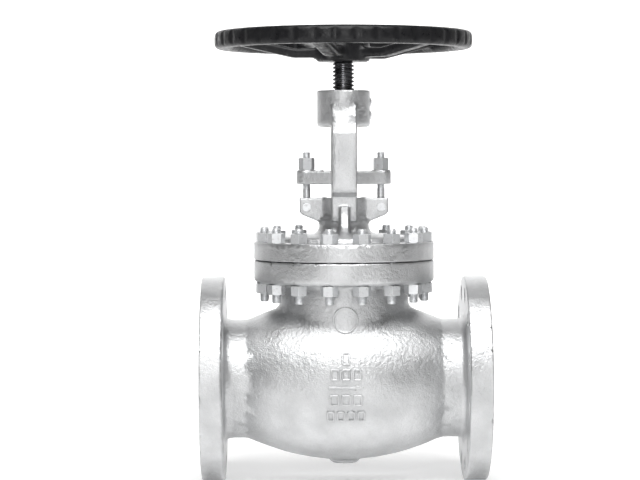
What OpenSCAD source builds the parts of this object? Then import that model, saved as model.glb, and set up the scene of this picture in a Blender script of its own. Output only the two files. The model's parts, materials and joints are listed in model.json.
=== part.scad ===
// Bolted-bonnet globe valve, outside screw and yoke, rising and turning stem.
// The stem axis is drawn on Z. The whole valve is then moved along +X, so that
// the origin is the centre of the inlet flange's bolting face, just behind its
// raised face. Flow runs along +X.

/* [End connections] */
// Distance between the two raised faces
face_to_face = 444.5; // [440:0.5:450]
// Outer diameter of the end flanges
flange_od = 317.5; // [312:0.5:322]
// Thickness of an end flange, with its raised face
flange_thick = 36.5; // [32:0.5:40]
// Diameter of the raised face
raised_face_d = 215.9; // [205:0.1:222]
// Height of the raised face
raised_face_h = 1.6; // [1:0.1:3]
// Diameter of the port
port_d = 152; // [146:1:156]
// Bolt circle of an end flange
flange_pcd = 269.9; // [266:0.1:274]
// Diameter of an end flange's bolt holes
flange_hole_d = 22.2; // [18:0.1:24]
// Number of bolts in an end flange
flange_holes = 12; // [8:4:12]

/* [Body] */
// Outer diameter of the pipe-like ends
nozzle_d = 184; // [180:1:190]
// Largest diameter of the globe
globe_d = 253; // [246:1:258]
// Half-length of the globe's swelling along the pipe
globe_half = 150; // [146:1:154]
// Thickness of the cast wall
wall = 16; // [13:0.5:17]
// Outer diameter of the neck below the bonnet
neck_d = 200; // [196:1:204]
// Outer diameter of the bonnet joint's two flanges
bonnet_flange_d = 280; // [278:1:284]
// Height of the body flange's underside
body_flange_z0 = 150; // [146:1:152]
// Height of the body flange's joint face
body_flange_z1 = 184.4; // [182:0.1:186]

/* [Bonnet bolting] */
// Number of bonnet studs
studs = 16; // [12:4:16]
// Bolt circle of the bonnet studs
stud_pcd = 252; // [251:0.5:253]
// Diameter of a bonnet stud
stud_d = 14; // [12:0.5:15]
// Width across the flats of a bonnet nut
stud_nut_af = 24; // [22:0.5:24]
// Height of a bonnet nut
stud_nut_h = 15; // [12:0.5:16]

/* [Bonnet and yoke] */
// Compressed thickness of the bonnet gasket
gasket_h = 1.5; // [1:0.1:2]
// Thickness of the bonnet flange
bonnet_flange_h = 27.8; // [26:0.1:29]
// Height of the stuffing box's top
box_top_z = 281.4; // [280:0.1:283]
// Width of a yoke arm
arm_w = 39; // [36:0.5:41]
// Distance from the stem axis to the outer face of an arm
arm_y = 58; // [56:0.5:62]
// Thickness of a yoke arm
arm_t = 16; // [13:0.5:17]
// Height of the yoke hub's underside
yoke_hub_z0 = 391; // [389:0.5:393]
// Height of the yoke hub's top
yoke_hub_z1 = 448; // [447:0.5:449]
// Diameter of the yoke hub
yoke_hub_d = 82.8; // [80:0.1:86]

/* [Stem and trim] */
// Diameter of the stem's shank
stem_d = 33.6; // [33.6:0.1:34]
// Pitch of the stem thread
thread_pitch = 6; // [5:1:6]
// Travel of the disc from shut to open
lift = 36; // [30:1:37]
// Diameter of the seat opening
seat_d = 144; // [138:1:146]
// Height of the seat ring's sealing edge
seat_z = 12; // [11:0.5:13]

/* [Packing and gland] */
// Number of packing rings
packing_count = 6; // [5:1:6]
// Distance from the stem axis to each eyebolt
eyebolt_x = 57.8; // [57:0.1:59]
// Diameter of an eyebolt's shank
eyebolt_d = 12; // [10:0.5:13]
// Height of the eyebolt pins
eyebolt_z = 267; // [266:0.5:268]
// Height of the gland flange's underside
gland_z = 302.6; // [300:0.1:306]
// Thickness of the gland flange
gland_flange_h = 20.2; // [18:0.1:21]
// Width across the flats of a gland nut
gland_nut_af = 22; // [19:0.5:23]
// Height of a gland nut
gland_nut_h = 19; // [16:0.5:20]

/* [Handwheel] */
// Diameter of the handwheel
wheel_d = 400; // [380:1:420]
// Height of the rim's middle
wheel_z = 525.5; // [523:0.5:528]
// Height of the rim's section
rim_h = 27; // [24:0.5:28]
// Radial width of the rim's section
rim_w = 25; // [22:0.5:28]
// Number of finger grips round the rim
grips = 40; // [36:4:44]
// Number of spokes
spokes = 5; // [5:1:5]
// Width of a spoke
spoke_w = 25.6; // [20:0.1:28]

/* [Hidden] */

// Small overlap that keeps a cut clear of a face it ends on
eps = 1;
cast_fn = 64;

flange_r = flange_od / 2;
nozzle_r = nozzle_d / 2;
globe_r = globe_d / 2;
port_r = port_d / 2;
neck_r = neck_d / 2;
neck_bore_r = neck_r - wall + 1;
bonnet_flange_r = bonnet_flange_d / 2;
half_length = face_to_face / 2;
// Distance from the origin to the stem axis
axis_x = half_length - raised_face_h;
flange_chamfer = 5;
// Drilling play of the outlet flange's bolt holes
outlet_play = 0.2;
edge_chamfer = 1.5;

// Web between the two chambers
deck_z0 = -10;
deck_z1 = 8;
seat_hole_r = 78;
seat_lip_r = 84;
seat_cone_h = 4;
seat_cone_w = 5.5;

// Bonnet joint and casting
bonnet_z0 = body_flange_z1 + gasket_h;
bonnet_top = bonnet_z0 + bonnet_flange_h;
bonnet_deck_z = bonnet_top + 11.3;
spigot_r = neck_bore_r - 0.4;
spigot_h = 8;
bonnet_cavity_r = 74;
box_r = 34;
box_root_r = 38.5;
box_fillet = 14;
box_bore_r = 23.3;
backseat_z0 = 219;
backseat_z1 = 233;
backseat_r = 27;
gasket_r0 = neck_bore_r + 2;
gasket_r1 = 112;

// Bonnet fasteners
stud_r = stud_d / 2;
stud_hole_r = stud_r + 0.75;
stud_top_z = bonnet_top + stud_nut_h + 7.5;
stud_bottom_z = body_flange_z0 - stud_nut_h - 13;

// Clevis lugs and eyebolts
lug_x = 69;
lug_half = 14;
lug_slot = 13;
eye_r = 11;
eye_t = 12.4;
pin_r = 5;
pin_end = 17.5;
cotter_r = 1;
cotter_y = 15.6;
eyebolt_top_z = 352.5;

// Yoke
arm_foot_y = 44;
arm_foot_z0 = 246;
arm_bend_z = 283;
arm_bend_h = 8;
rib_w = 14;
yoke_nut_r = 26;
yoke_nut_flange_r = 31;
yoke_nut_flange_h = 6;
lock_screw_r = 4;
lock_screw_head_r = 7;
spotface_x = yoke_hub_d / 2 - 0.6;
lock_screw_zs = [409.6, 430];

// Stem
stem_r = stem_d / 2;
stem_head_z0 = 57.2;
stem_head_z1 = 68.8;
stem_head_r = 24.5;
shoulder_r = 22;
shoulder_z0 = 204;
stem_top_z = 549;
journal_r = 13;
stud_end_r = 12;
fit_gap = 0.05;

// Stem thread: trapezoidal, with flanks at 15 degrees from the normal, drawn as rings
thread_z0 = 384;
thread_z1 = 492.5;
thread_depth = 3;
thread_root_r = stem_r - thread_depth;
thread_crest_w = 2.05;
thread_root_w = thread_crest_w + 2 * thread_depth * tan(15);
thread_rings = floor((thread_z1 - thread_z0) / thread_pitch);

// Disc, raised by the lift at rest
seat_gap = 0.35;
disc_z0 = seat_z - seat_cone_h + lift + seat_gap;
disc_r = 81;
disc_z1 = disc_z0 + 22;
disc_hub_r = 45;
disc_hub_z = disc_z0 + 45;
disc_nut_r = 34;
disc_nut_top = disc_hub_z + 12;
disc_nut_af = 74;
disc_pin_r = 2.5;

// Packing and gland
packing_r0 = stem_r + fit_gap;
packing_r1 = box_bore_r - 0.1;
packing_z0 = backseat_z1;
packing_top = 272;
packing_ring_h = (packing_top - packing_z0) / packing_count;
bush_r = box_bore_r - 0.1;
bush_waist_r = 19.6;
bush_waist_z = box_top_z - 0.2;
bush_top_z = gland_z + 9;
gland_boss_h = 1.8;
gland_boss_r = 14.8;
gland_end_r = 15.8;
gland_mid_r = 33;
gland_top_z = gland_z + gland_flange_h + gland_boss_h;

// Handwheel
wheel_r = wheel_d / 2;
wheel_hub_r = 41;
wheel_hub_z0 = 492.5;
wheel_hub_z1 = 528;
spoke_z0 = 498.6;
spoke_t = 13;
spoke_flat_r = 78;
spoke_first = -106;
grip_r = 12;
grip_depth = 1.8;
washer_h = 3;
wheel_nut_h = 14;
wheel_nut_af = 36;
key_w = 8;
key_h = 7;
key_len = 28;

CAST = "silver";
STEEL = "gainsboro";
DARK_STEEL = "dimgray";

// Cylinder of radius r from height z0 to height z1
module drum(r, z0, z1) {
    translate([0, 0, z0]) cylinder(r = r, h = z1 - z0, $fn = cast_fn);
}

// Tube from height z0 to height z1
module tube(r0, r1, z0, z1) {
    difference() {
        drum(r1, z0, z1);
        drum(r0, z0 - eps, z1 + eps);
    }
}

// Hexagonal prism of width af across its flats
module hexagon(af, z0, z1, turn = 0) {
    translate([0, 0, z0])
        rotate([0, 0, turn]) cylinder(r = af / sqrt(3), h = z1 - z0, $fn = 6);
}

// Nut with chamfered ends and a plain bore
module nut(af, bore_r, z0, z1, turn = 0) {
    corner = af / sqrt(3);
    bevel = corner - af / 2 + 0.4;
    slope = bevel * 0.55;
    difference() {
        intersection() {
            hexagon(af, z0, z1, turn);
            rotate_extrude($fn = cast_fn)
                polygon([[0, z0], [corner + 0.4 - bevel, z0], [corner + 0.4, z0 + slope],
                         [corner + 0.4, z1 - slope], [corner + 0.4 - bevel, z1], [0, z1]]);
        }
        drum(bore_r, z0 - eps, z1 + eps);
    }
}

// Rod with chamfered ends
module rod(r, z0, z1, bevel = 1.5) {
    rotate_extrude($fn = cast_fn)
        polygon([[0, z0], [r - bevel, z0], [r, z0 + bevel], [r, z1 - bevel],
                 [r - bevel, z1], [0, z1]]);
}

// Copies of the children round Z, half a step away from the X axis
module around(count, radius) {
    step = 360 / count;
    for (i = [0:count - 1])
        rotate([0, 0, step * (i + 0.5)]) translate([radius, 0, 0]) children();
}

// Turns a shape drawn round Z so that its axis lies along X
module along_x() {
    rotate([0, 90, 0]) children();
}

// Points of an arc, from angle a0 to angle a1
function arc(cx, cy, r, a0, a1, n) =
    [for (i = [0:n]) let (a = a0 + (a1 - a0) * i / n) [cx + r * cos(a), cy + r * sin(a)]];

// Radius of the globe at distance x from the stem axis
function globe_at(x) = nozzle_r + (globe_r - nozzle_r) * (1 - pow(x / globe_half, 2));

// Globe shape shrunk by inset, as a solid of revolution round X
module globe(inset) {
    steps = 20;
    along_x() rotate_extrude($fn = cast_fn)
        polygon(concat(
            [[0, -globe_half]],
            [for (i = [-steps:steps])
                [globe_at(globe_half * i / steps) - inset, globe_half * i / steps]],
            [[0, globe_half]]));
}

// One end: pipe wall, flange, raised face and the cone at their root
module body_end() {
    flange_back = half_length - flange_thick;
    root = 9;
    along_x() {
        drum(nozzle_r, globe_half - 20, flange_back + eps);
        rotate_extrude($fn = cast_fn)
            polygon([[0, flange_back - root], [nozzle_r, flange_back - root],
                     [nozzle_r + root * 0.4, flange_back - root * 0.4],
                     [nozzle_r + root, flange_back],
                     [flange_r - edge_chamfer, flange_back], [flange_r, flange_back + edge_chamfer],
                     [flange_r, half_length - raised_face_h - edge_chamfer],
                     [flange_r - edge_chamfer, half_length - raised_face_h],
                     [raised_face_d / 2, half_length - raised_face_h],
                     [raised_face_d / 2, half_length], [0, half_length]]);
    }
}

// Cuts of one end: the port and the bolt holes, each with its radius and circle grown by play
module body_end_cuts(play) {
    along_x() {
        drum(port_r, globe_half - 25, half_length + eps);
        around(flange_holes, flange_pcd / 2 + play)
            drum(flange_hole_d / 2 + play, half_length - flange_thick - eps, half_length + eps);
    }
}

// Web that divides the two chambers: a level deck with a sloping wall at each end
module web() {
    far = 135;
    section = [[-88, deck_z1], [-104, deck_z0], [-152, 100], [-132, 100]];
    difference() {
        union() {
            translate([-104, -far, deck_z0]) cube([208, 2 * far, deck_z1 - deck_z0]);
            for (end = [0, 1])
                translate([0, 0, end * (deck_z0 + deck_z1)]) rotate([0, end * 180, 0])
                    translate([0, far, 0]) rotate([90, 0, 0])
                        linear_extrude(2 * far) polygon(section);
        }
        drum(seat_hole_r, deck_z0 - eps, deck_z1 + eps);
    }
}

module body() {
    boss_r = 21;
    boss_z = -131.4;
    color(CAST) translate([axis_x, 0, 0]) difference() {
        union() {
            globe(0);
            body_end();
            mirror([1, 0, 0]) body_end();
            drum(neck_r, 40, body_flange_z0 + eps);
            rotate_extrude($fn = cast_fn)
                polygon([[0, body_flange_z0], [bonnet_flange_r - flange_chamfer, body_flange_z0],
                         [bonnet_flange_r, body_flange_z0 + flange_chamfer],
                         [bonnet_flange_r, body_flange_z1 - edge_chamfer],
                         [bonnet_flange_r - edge_chamfer, body_flange_z1],
                         [0, body_flange_z1]]);
            drum(boss_r, boss_z, boss_z + 20);
        }
        difference() {
            union() {
                globe(wall);
                drum(neck_bore_r, 30, body_flange_z1 + eps);
            }
            web();
        }
        body_end_cuts(outlet_play);
        mirror([1, 0, 0]) body_end_cuts(0);
        around(studs, stud_pcd / 2) drum(stud_hole_r, body_flange_z0 - eps, body_flange_z1 + eps);
    }
}

module seat_ring() {
    color(DARK_STEEL) translate([axis_x, 0, 0]) rotate_extrude($fn = cast_fn)
        polygon([[seat_d / 2, deck_z0], [seat_hole_r, deck_z0], [seat_hole_r, deck_z1],
                 [seat_lip_r, deck_z1], [seat_lip_r, seat_z],
                 [seat_d / 2 + seat_cone_w, seat_z], [seat_d / 2, seat_z - seat_cone_h]]);
}

module bonnet_gasket() {
    color(DARK_STEEL) translate([axis_x, 0, 0])
        tube(gasket_r0, gasket_r1, body_flange_z1, bonnet_z0);
}

// Bonnet flange, dome and stuffing box, as one turned outline
module bonnet_shell() {
    rotate_extrude($fn = cast_fn)
        polygon(concat(
            [[bonnet_cavity_r, bonnet_z0 - spigot_h], [spigot_r, bonnet_z0 - spigot_h],
             [spigot_r, bonnet_z0], [bonnet_flange_r - edge_chamfer, bonnet_z0],
             [bonnet_flange_r, bonnet_z0 + edge_chamfer],
             [bonnet_flange_r, bonnet_top - edge_chamfer],
             [bonnet_flange_r - edge_chamfer, bonnet_top], [108, bonnet_top],
             [104, bonnet_top + 2], [100, bonnet_top + 6], [92, bonnet_top + 9],
             [76, bonnet_deck_z]],
            arc(box_root_r + box_fillet, bonnet_deck_z + box_fillet, box_fillet, 270, 180, 8),
            [[box_root_r, 246], [box_r, 256], [box_r, box_top_z - 1], [box_r - 1, box_top_z],
             [box_bore_r, box_top_z], [box_bore_r, backseat_z1], [backseat_r, backseat_z1],
             [backseat_r, backseat_z0], [backseat_r + 8, backseat_z0 - 4],
             [bonnet_cavity_r, 197]]));
}

// Clevis on the +X side that holds an eyebolt
module lug() {
    translate([0, lug_half, 0]) rotate([90, 0, 0]) linear_extrude(2 * lug_half)
        polygon([[28, box_top_z], [lug_x - 2, box_top_z], [lug_x, box_top_z - 2],
                 [lug_x, 260], [lug_x - 4, 255.5], [box_root_r, 244.5], [28, 244.5]]);
}

module lug_cuts() {
    slot_top = box_top_z + eps;
    translate([eyebolt_x - eye_r - 2, -lug_slot / 2, 240])
        cube([40, lug_slot, slot_top - 240]);
    translate([eyebolt_x, 0, eyebolt_z]) rotate([90, 0, 0])
        cylinder(r = pin_r, h = 60, center = true, $fn = cast_fn);
}

// Yoke arm on the +Y side: foot on the stuffing box, upright, bend into the hub
module arm() {
    bend_top = arm_bend_z + arm_bend_h;
    shoulder_z = 398;
    hub_y = yoke_hub_d / 2 - 3;
    inner = arm_y - arm_t;
    translate([-arm_w / 2, 0, 0]) rotate([90, 0, 90]) linear_extrude(arm_w)
        polygon([
             [28, arm_foot_z0], [arm_foot_y - 3, arm_foot_z0], [arm_foot_y, arm_foot_z0 + 6],
             [arm_foot_y, arm_bend_z], [arm_y - 2, bend_top - 1],
             [arm_y, bend_top + 3], [arm_y, shoulder_z - 17], [arm_y - 9, shoulder_z],
             [arm_y - 10.5, shoulder_z + 10], [hub_y + 2, shoulder_z + 22],
             [hub_y, yoke_hub_z0 + 32], [20, yoke_hub_z0 + 32], [20, yoke_hub_z0 + 3],
             [hub_y - 6, yoke_hub_z0 + 3], [inner, shoulder_z - 16],
             [inner, bend_top + 2], [box_r, box_top_z], [28, box_top_z]]);
}

// Rib below an arm, from the foot out to the bonnet flange
module rib() {
    reach = 98;
    translate([-rib_w / 2, 0, 0]) rotate([90, 0, 90]) linear_extrude(rib_w)
        polygon(concat([[28, 268], [arm_foot_y + 4, 268]],
                       arc(reach, 268, reach - arm_foot_y - 8, 180, 262, 6),
                       [[reach, bonnet_top + 1], [28, bonnet_top + 1]]));
}

module yoke_hub() {
    hub_r = yoke_hub_d / 2;
    rotate_extrude($fn = cast_fn)
        polygon(concat([[0, yoke_hub_z0]], arc(hub_r - 7, yoke_hub_z0 + 7, 7, 270, 360, 5),
                       arc(hub_r - 3, yoke_hub_z1 - 3, 3, 0, 90, 3), [[0, yoke_hub_z1]]));
}

module bonnet() {
    color(CAST) translate([axis_x, 0, 0]) difference() {
        union() {
            bonnet_shell();
            difference() {
                union() {
                    lug();
                    mirror([1, 0, 0]) lug();
                    for (side = [0, 1]) mirror([0, side, 0]) {
                        arm();
                        rib();
                    }
                }
                drum(box_bore_r + 4, 200, box_top_z + eps);
            }
            yoke_hub();
        }
        lug_cuts();
        mirror([1, 0, 0]) lug_cuts();
        drum(yoke_nut_r, yoke_hub_z0 - eps, yoke_hub_z1 + eps);
        drum(yoke_nut_flange_r, yoke_hub_z0 - eps, yoke_hub_z0 + yoke_nut_flange_h);
        for (z = lock_screw_zs) translate([0, 0, z]) along_x() {
            drum(lock_screw_r, 20, 60);
            drum(lock_screw_head_r, spotface_x, 60);
        }
        around(studs, stud_pcd / 2) drum(stud_hole_r, bonnet_z0 - eps, bonnet_top + eps);
    }
}

module backseat_bush() {
    cone = shoulder_r - stem_r;
    color("darkkhaki") translate([axis_x, 0, 0]) rotate_extrude($fn = cast_fn)
        polygon([[stem_r + 0.2, backseat_z0 + cone], [stem_r + 0.2 + cone, backseat_z0],
                 [backseat_r, backseat_z0], [backseat_r, backseat_z1],
                 [stem_r + 0.2, backseat_z1]]);
}

module bonnet_studs() {
    color(STEEL) translate([axis_x, 0, 0]) around(studs, stud_pcd / 2)
        rod(stud_r, stud_bottom_z, stud_top_z, 2.5);
}

module upper_nuts() {
    color(STEEL) translate([axis_x, 0, 0]) around(studs, stud_pcd / 2)
        nut(stud_nut_af, stud_r, bonnet_top, bonnet_top + stud_nut_h, 30);
}

module lower_nuts() {
    color(STEEL) translate([axis_x, 0, 0]) around(studs, stud_pcd / 2)
        nut(stud_nut_af, stud_r, body_flange_z0 - stud_nut_h, body_flange_z0, 30);
}

module packing_rings() {
    bevel = 0.5;
    color("dimgray") translate([axis_x, 0, 0]) for (i = [0:packing_count - 1]) {
        low = packing_z0 + packing_ring_h * i + 0.05;
        high = packing_z0 + packing_ring_h * (i + 1) - 0.05;
        rotate_extrude($fn = cast_fn)
            polygon([[packing_r0, low + bevel], [packing_r0 + bevel, low],
                     [packing_r1 - bevel, low], [packing_r1, low + bevel],
                     [packing_r1, high - bevel], [packing_r1 - bevel, high],
                     [packing_r0 + bevel, high], [packing_r0, high - bevel]]);
    }
}

// Eyebolt: a flat eye round the pin, and a shank up through the gland flange
module eyebolt(side) {
    color(STEEL) translate([axis_x + side * eyebolt_x, 0, 0]) difference() {
        union() {
            translate([0, 0, eyebolt_z]) rotate([90, 0, 0])
                cylinder(r = eye_r, h = eye_t, center = true, $fn = cast_fn);
            rod(eyebolt_d / 2, eyebolt_z + pin_r + 2, eyebolt_top_z);
        }
        translate([0, 0, eyebolt_z]) rotate([90, 0, 0])
            cylinder(r = pin_r, h = 2 * eye_t, center = true, $fn = cast_fn);
    }
}

module eyebolt_left() {
    eyebolt(-1);
}

module eyebolt_right() {
    eyebolt(1);
}

module eyebolt_pins() {
    color(STEEL) translate([axis_x, 0, 0]) for (side = [-1, 1])
        translate([side * eyebolt_x, 0, eyebolt_z]) rotate([90, 0, 0]) difference() {
            union() {
                rod(pin_r, -pin_end, lug_half + 1.5, 1);
                drum(pin_r + 1.5, lug_half, lug_half + 1.5);
            }
            translate([0, 0, -cotter_y]) along_x() drum(cotter_r, -2 * pin_r, 2 * pin_r);
        }
}

module eyebolt_cotters() {
    color(STEEL) translate([axis_x, cotter_y, 0]) for (side = [-1, 1])
        translate([side * eyebolt_x, 0, eyebolt_z]) along_x() drum(cotter_r, -8, 8);
}

// Bronze sleeve that the stem screws through, with its bore at the thread's crest
module yoke_nut() {
    lead = 1.5;
    bore = stem_r + fit_gap;
    z1 = yoke_hub_z1;
    color("darkkhaki") translate([axis_x, 0, 0]) difference() {
        rotate_extrude($fn = cast_fn)
            polygon([[bore + lead, yoke_hub_z0], [yoke_nut_flange_r, yoke_hub_z0],
                     [yoke_nut_flange_r, yoke_hub_z0 + yoke_nut_flange_h],
                     [yoke_nut_r, yoke_hub_z0 + yoke_nut_flange_h], [yoke_nut_r, z1],
                     [bore + lead, z1], [bore, z1 - lead], [bore, yoke_hub_z0 + lead]]);
        for (z = lock_screw_zs) translate([20, 0, z]) along_x() drum(lock_screw_r, 0, 10);
    }
}

module yoke_lock_screws() {
    color(STEEL) translate([axis_x, 0, 0]) for (z = lock_screw_zs)
        translate([0, 0, z]) along_x() {
            drum(lock_screw_r, yoke_nut_r - 6, yoke_hub_d / 2);
            rotate_extrude($fn = cast_fn)
                polygon([[0, spotface_x], [lock_screw_head_r, spotface_x],
                         [lock_screw_head_r - 1, yoke_hub_d / 2 + 1.4],
                         [lock_screw_head_r - 3, yoke_hub_d / 2 + 2.4],
                         [0, yoke_hub_d / 2 + 2.6]]);
        }
}

// Outline of the gland flange: a round middle with tangent sides to round ends
module gland_outline() {
    lean = acos((gland_mid_r - gland_end_r) / eyebolt_x);
    mid = [gland_mid_r * cos(lean), gland_mid_r * sin(lean)];
    tip = [eyebolt_x + gland_end_r * cos(lean), gland_end_r * sin(lean)];
    circle(r = gland_mid_r, $fn = cast_fn);
    for (side = [0, 1]) mirror([side, 0]) {
        translate([eyebolt_x, 0]) circle(r = gland_end_r, $fn = cast_fn);
        polygon([[0, -mid[1]], [mid[0], -mid[1]], [tip[0], -tip[1]],
                 tip, mid, [0, mid[1]]]);
    }
}

module gland_flange() {
    pip_x = -34;
    color(CAST) translate([axis_x, 0, 0]) difference() {
        union() {
            translate([0, 0, gland_z]) linear_extrude(gland_flange_h) gland_outline();
            for (side = [-1, 1]) translate([side * eyebolt_x, 0, 0])
                drum(gland_boss_r, gland_z + 5, gland_top_z);
            translate([pip_x, 0, 0]) drum(3, gland_z + 5, gland_z + gland_flange_h + 2);
        }
        drum(stem_r + 0.6, gland_z - eps, gland_top_z + eps);
        drum(bush_waist_r, gland_z - eps, bush_top_z);
        for (side = [-1, 1]) translate([side * eyebolt_x, 0, 0])
            drum(eyebolt_d / 2 + 0.5, gland_z - eps, gland_top_z + eps);
    }
}

module gland_bush() {
    color("darkkhaki") translate([axis_x, 0, 0]) difference() {
        union() {
            drum(bush_r, packing_top, bush_waist_z);
            drum(bush_waist_r, packing_top, bush_top_z);
        }
        drum(stem_r + 0.1, packing_top - eps, bush_top_z + eps);
    }
}

module gland_nut(side, turn) {
    color(STEEL) translate([axis_x + side * eyebolt_x, 0, 0])
        nut(gland_nut_af, eyebolt_d / 2 + fit_gap, gland_top_z, gland_top_z + gland_nut_h, turn);
}

module gland_nut_left() {
    gland_nut(-1, 8);
}

module gland_nut_right() {
    gland_nut(1, 38);
}

module disc() {
    cone_r = seat_d / 2;
    color(DARK_STEEL) translate([axis_x, 0, 0]) difference() {
        rotate_extrude($fn = cast_fn)
            polygon([[0, disc_z0], [cone_r, disc_z0],
                     [cone_r + seat_cone_w, disc_z0 + seat_cone_h],
                     [disc_r, disc_z0 + seat_cone_h], [disc_r, disc_z1 - 3],
                     [disc_r - 3, disc_z1], [disc_hub_r + 6, disc_z1 + 2],
                     [disc_hub_r, disc_z1 + 8], [disc_hub_r, disc_hub_z], [0, disc_hub_z]]);
        drum(stem_head_r + 0.6, stem_head_z0 - 0.2, stem_head_z1 + 1);
        drum(disc_nut_r, stem_head_z1 + 0.2, disc_hub_z + eps);
        translate([0, 0, disc_hub_z - 8]) along_x() drum(disc_pin_r, 28, 60);
    }
}

module disc_nut() {
    color(STEEL) translate([axis_x, 0, 0]) difference() {
        union() {
            drum(disc_nut_r, stem_head_z1 + 0.2, disc_hub_z);
            nut(disc_nut_af, stem_r + 2, disc_hub_z, disc_nut_top);
        }
        drum(stem_r + fit_gap, stem_head_z1 - eps, disc_nut_top + eps);
        translate([0, 0, disc_hub_z - 8]) along_x() drum(disc_pin_r, 28, 60);
    }
}

module disc_nut_pin() {
    color(STEEL) translate([axis_x, 0, disc_hub_z - 8]) along_x()
        drum(disc_pin_r, 28, disc_hub_r);
}

// Slot for the handwheel key, on the +Y side of the stem's journal
module key_space() {
    translate([-key_w / 2, journal_r - key_h / 2, wheel_hub_z0 + 4])
        cube([key_w, key_h, key_len]);
}

// Outline of one thread ring at height z, from its lower root to its upper root
function thread_ring(z) =
    [[thread_root_r, z - thread_root_w / 2], [stem_r, z - thread_crest_w / 2],
     [stem_r, z + thread_crest_w / 2], [thread_root_r, z + thread_root_w / 2]];

module stem() {
    cone = shoulder_r - stem_r;
    shoulder_gap = 0.3;
    cone_z = backseat_z0 - shoulder_gap;
    shank = [[0, stem_head_z0], [stem_head_r - 2, stem_head_z0],
             [stem_head_r, stem_head_z0 + 2], [stem_head_r, stem_head_z1],
             [stem_r, stem_head_z1], [stem_r, shoulder_z0 - 4],
             [shoulder_r, shoulder_z0], [shoulder_r, cone_z],
             [stem_r, cone_z + cone], [stem_r, thread_z0 - 6],
             [thread_root_r, thread_z0 - 3]];
    thread = [for (i = [0:thread_rings - 1]) each thread_ring(thread_z0 + i * thread_pitch)];
    color(DARK_STEEL) translate([axis_x, 0, 0]) difference() {
        union() {
            rotate_extrude($fn = cast_fn)
                polygon(concat(shank, thread, [[thread_root_r, thread_z1], [0, thread_z1]]));
            rod(journal_r, thread_z1 - 2, wheel_hub_z1 + 2, 1);
            rod(stud_end_r, wheel_hub_z1, stem_top_z, 2);
        }
        key_space();
    }
}

// Spoke along +X: level near the hub, then rising into the rim
module spoke() {
    rim_r = wheel_r - rim_w / 2;
    rise_z = wheel_z - spoke_t / 2 - 1;
    translate([0, spoke_w / 2, 0]) rotate([90, 0, 0]) linear_extrude(spoke_w)
        polygon([[wheel_hub_r - 8, spoke_z0], [spoke_flat_r, spoke_z0],
                 [rim_r - 22, rise_z], [rim_r, rise_z], [rim_r, rise_z + spoke_t],
                 [rim_r - 26, rise_z + spoke_t], [spoke_flat_r - 4, spoke_z0 + spoke_t + 1],
                 [wheel_hub_r - 8, spoke_z0 + spoke_t + 3]]);
}

module rim() {
    r0 = wheel_r - rim_w;
    z0 = wheel_z - rim_h / 2;
    z1 = wheel_z + rim_h / 2;
    bevel = 8;
    difference() {
        rotate_extrude($fn = cast_fn)
            polygon(concat(arc(r0 + bevel, z0 + bevel, bevel, 180, 270, 4),
                           arc(wheel_r - bevel, z0 + bevel, bevel, 270, 360, 4),
                           arc(wheel_r - bevel, z1 - bevel, bevel, 0, 90, 4),
                           arc(r0 + bevel, z1 - bevel, bevel, 90, 180, 4)));
        for (i = [0:grips - 1])
            rotate([0, 0, 360 * (i + 0.5) / grips])
                translate([wheel_r + grip_r - grip_depth, 0, 0])
                    drum(grip_r, z0 - eps, z1 + eps);
    }
}

module handwheel() {
    color("#202022") translate([axis_x, 0, 0]) difference() {
        union() {
            rotate_extrude($fn = cast_fn)
                polygon([[0, wheel_hub_z0], [wheel_hub_r - 2, wheel_hub_z0],
                         [wheel_hub_r, wheel_hub_z0 + 2], [wheel_hub_r, wheel_hub_z1 - 4],
                         [wheel_hub_r - 4, wheel_hub_z1], [0, wheel_hub_z1]]);
            for (i = [0:spokes - 1]) rotate([0, 0, spoke_first + i * 360 / spokes]) spoke();
            rim();
        }
        drum(journal_r, wheel_hub_z0 - eps, wheel_hub_z1 + eps);
        key_space();
    }
}

module handwheel_key() {
    color(STEEL) translate([axis_x, 0, 0]) key_space();
}

module handwheel_washer() {
    color(STEEL) translate([axis_x, 0, 0]) difference() {
        drum(22, wheel_hub_z1, wheel_hub_z1 + washer_h);
        drum(journal_r, wheel_hub_z1 - eps, wheel_hub_z1 + 2);
        drum(stud_end_r, wheel_hub_z1 - eps, wheel_hub_z1 + washer_h + eps);
    }
}

module handwheel_nut() {
    color(STEEL) translate([axis_x, 0, 0])
        nut(wheel_nut_af, stud_end_r, wheel_hub_z1 + washer_h,
            wheel_hub_z1 + washer_h + wheel_nut_h);
}

body();
seat_ring();
bonnet_gasket();
bonnet();
backseat_bush();
bonnet_studs();
upper_nuts();
lower_nuts();
packing_rings();
eyebolt_left();
eyebolt_right();
eyebolt_pins();
eyebolt_cotters();
yoke_nut();
yoke_lock_screws();
gland_flange();
gland_bush();
gland_nut_left();
gland_nut_right();
disc();
disc_nut();
disc_nut_pin();
stem();
handwheel();
handwheel_key();
handwheel_washer();
handwheel_nut();
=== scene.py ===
import json
import math

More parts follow.
